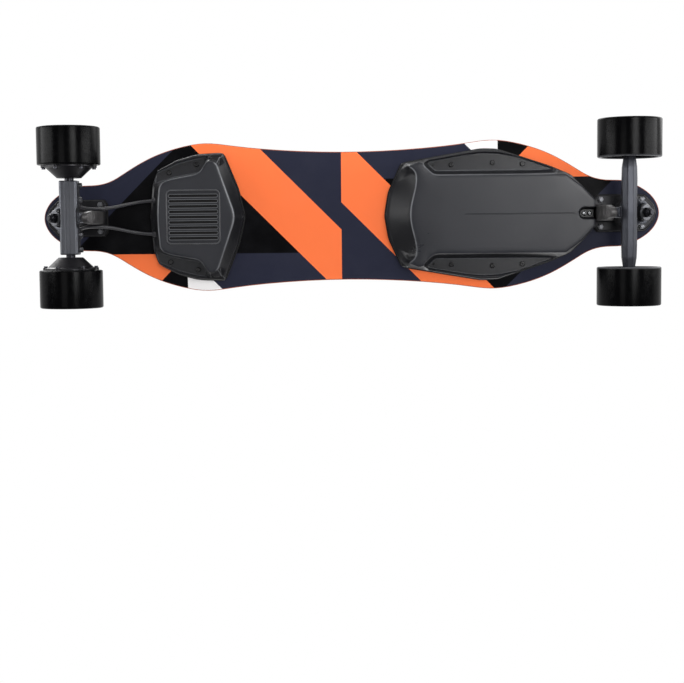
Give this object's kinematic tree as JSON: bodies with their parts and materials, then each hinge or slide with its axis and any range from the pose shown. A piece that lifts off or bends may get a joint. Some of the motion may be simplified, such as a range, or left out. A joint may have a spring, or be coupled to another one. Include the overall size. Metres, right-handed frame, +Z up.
{
  "type": "electric skateboard",
  "caption": "Electric longboard: a curved deck on two sprung trucks, with hub-motor rear wheels, a battery cover and a controller cover underneath.",
  "frame": {"origin": "on the ground, below the middle of the deck", "axes": "+X towards the nose, +Y to the rider's left, +Z up"},
  "size_m": [0.965, 0.28, 0.1344],
  "materials": {
    "deck": "lacquered maple plies, printed underneath in orange, navy, black and white",
    "grip_tape": "coarse black grit",
    "cover_plastic": "fine grained black plastic, satin",
    "foam": "closed-cell foam",
    "black_screw": "black oxide",
    "battery_cell": "shrink-wrapped cell",
    "nickel": "bright nickel strip",
    "circuit_board": "green solder mask",
    "heat_sink": "black anodised",
    "socket_plastic": "moulded black",
    "wire": "black silicone jacket",
    "riser_rubber": "smooth black rubber",
    "baseplate": "black powder coat",
    "cup_plastic": "moulded black",
    "plated_steel": "zinc plated",
    "bushing": "cast black urethane",
    "rear_hanger": "satin grey anodised aluminium",
    "front_hanger": "dark grey satin coat",
    "stator": "steel stack with enamelled copper coils",
    "motor_can": "black painted steel",
    "magnet": "nickel plated",
    "motor_cone": "black anodised",
    "bearing": "ground steel with black shields",
    "tyre": "glossy black urethane",
    "wheel_core": "moulded black"
  },
  "bodies": {
    "board": {"battery_cells": "battery_cell", "battery_cover": "cover_plastic", "battery_gasket": "foam", "bms_board": "circuit_board", "bushing_washers": "plated_steel", "cable_grommets": "wire", "charge_port": "socket_plastic", "cover_screws": "black_screw", "deck": "deck", "esc_board": "circuit_board", "esc_cover": "cover_plastic", "esc_gasket": "foam", "esc_heat_sink": "heat_sink", "front_baseplate": "baseplate", "front_boardside_bushing": "bushing", "front_roadside_bushing": "bushing", "grip_tape": "grip_tape", "kingpin_nuts": "plated_steel", "kingpins": "plated_steel", "left_motor_cable": "wire", "nickel_strips": "nickel", "pivot_cups": "cup_plastic", "power_lead": "wire", "power_switch": "socket_plastic", "rear_baseplate": "baseplate", "rear_boardside_bushing": "bushing", "rear_roadside_bushing": "bushing", "right_motor_cable": "wire", "riser_pads": "riser_rubber", "truck_bolts": "black_screw", "truck_nuts": "black_screw"},
    "power_button": {"power_button": "socket_plastic"},
    "rear_truck": {"rear_hanger": "rear_hanger", "axle_clamp_bolts": "black_screw", "left_motor_shaft": "plated_steel", "right_motor_shaft": "plated_steel", "left_motor_stator": "stator", "right_motor_stator": "stator"},
    "front_truck": {"front_hanger": "front_hanger", "front_axle": "plated_steel", "front_axle_nuts": "plated_steel"},
    "left_motor_wheel": {"left_motor_can": "motor_can", "left_motor_magnets": "magnet", "left_motor_cone": "motor_cone", "left_motor_cone_screws": "black_screw", "left_motor_bearings": "bearing", "left_motor_tyre": "tyre"},
    "right_motor_wheel": {"right_motor_can": "motor_can", "right_motor_magnets": "magnet", "right_motor_cone": "motor_cone", "right_motor_cone_screws": "black_screw", "right_motor_bearings": "bearing", "right_motor_tyre": "tyre"},
    "left_front_wheel": {"left_front_core": "wheel_core", "left_front_bearings": "bearing", "left_front_tyre": "tyre"},
    "right_front_wheel": {"right_front_core": "wheel_core", "right_front_bearings": "bearing", "right_front_tyre": "tyre"}
  },
  "joints": [
    {"name": "rear_steer", "type": "hinge", "parent": "board", "child": "rear_truck", "pos_m": [-0.44628, 0, 0.08194], "axis": [-0.788, 0, 0.6157], "range_deg": [-18, 18], "stiffness_Nm_per_rad": 60, "deforming": ["rear_boardside_bushing", "rear_roadside_bushing", "left_motor_cable", "right_motor_cable"]},
    {"name": "front_steer", "type": "hinge", "parent": "board", "child": "front_truck", "pos_m": [0.44628, 0, 0.08194], "axis": [0.788, 0, 0.6157], "range_deg": [-18, 18], "stiffness_Nm_per_rad": 60, "deforming": ["front_boardside_bushing", "front_roadside_bushing"]},
    {"name": "left_motor_wheel_spin", "type": "hinge", "parent": "rear_truck", "child": "left_motor_wheel", "pos_m": [-0.425, 0.109, 0.048], "axis": [0, 1, 0], "continuous": true},
    {"name": "right_motor_wheel_spin", "type": "hinge", "parent": "rear_truck", "child": "right_motor_wheel", "pos_m": [-0.425, -0.109, 0.048], "axis": [0, 1, 0], "continuous": true},
    {"name": "left_front_wheel_spin", "type": "hinge", "parent": "front_truck", "child": "left_front_wheel", "pos_m": [0.425, 0.111, 0.048], "axis": [0, 1, 0], "continuous": true},
    {"name": "right_front_wheel_spin", "type": "hinge", "parent": "front_truck", "child": "right_front_wheel", "pos_m": [0.425, -0.111, 0.048], "axis": [0, 1, 0], "continuous": true},
    {"name": "power_button_press", "type": "slide", "parent": "board", "child": "power_button", "axis": [0, -1, 0], "range_m": [0, 0.0012], "stiffness_N_per_m": 800}
  ]
}
